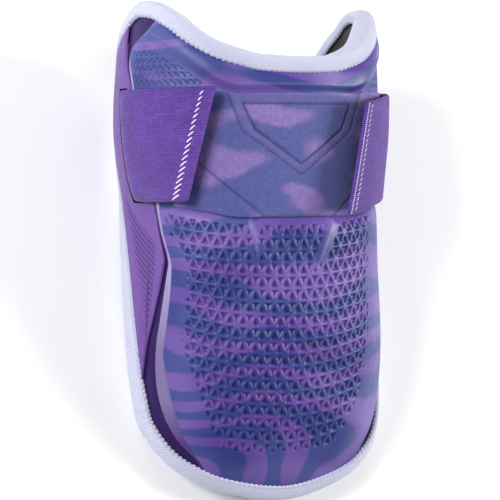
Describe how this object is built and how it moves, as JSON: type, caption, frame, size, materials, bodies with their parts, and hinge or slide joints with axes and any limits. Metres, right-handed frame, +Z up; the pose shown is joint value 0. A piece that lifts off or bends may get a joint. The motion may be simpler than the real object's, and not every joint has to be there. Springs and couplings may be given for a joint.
{
  "type": "batter's elbow guard",
  "caption": "Moulded foam elbow guard, open at the back, with a raised dimpled front cap, pale bound rim and a wide elastic strap.",
  "frame": {"origin": "on the table under the middle of the part's box, with the guard lying on its rear edges", "axes": "+X across the arm, with the guard's plane of symmetry at X = 0; +Y along the arm toward the upper arm; +Z up, out of the padded front"},
  "size_m": [0.1326, 0.2256, 0.0948],
  "materials": {
    "pad_base": "smooth dark purple film over foam",
    "wing_panel": "purple fabric with fine pressed ribs",
    "front_cap": "satin printed film in purple and indigo over moulded foam",
    "loop_panel": "brushed loop fabric",
    "lining": "black knitted lining",
    "edge_binding": "pale lavender twill tape",
    "strap": "purple woven elastic"
  },
  "bodies": {
    "root": {"pad_base": "pad_base", "wing_left": "wing_panel", "wing_right": "wing_panel", "front_cap": "front_cap", "loop_panel": "loop_panel", "lining": "lining", "edge_binding": "edge_binding", "strap": "strap"}
  },
  "joints": []
}
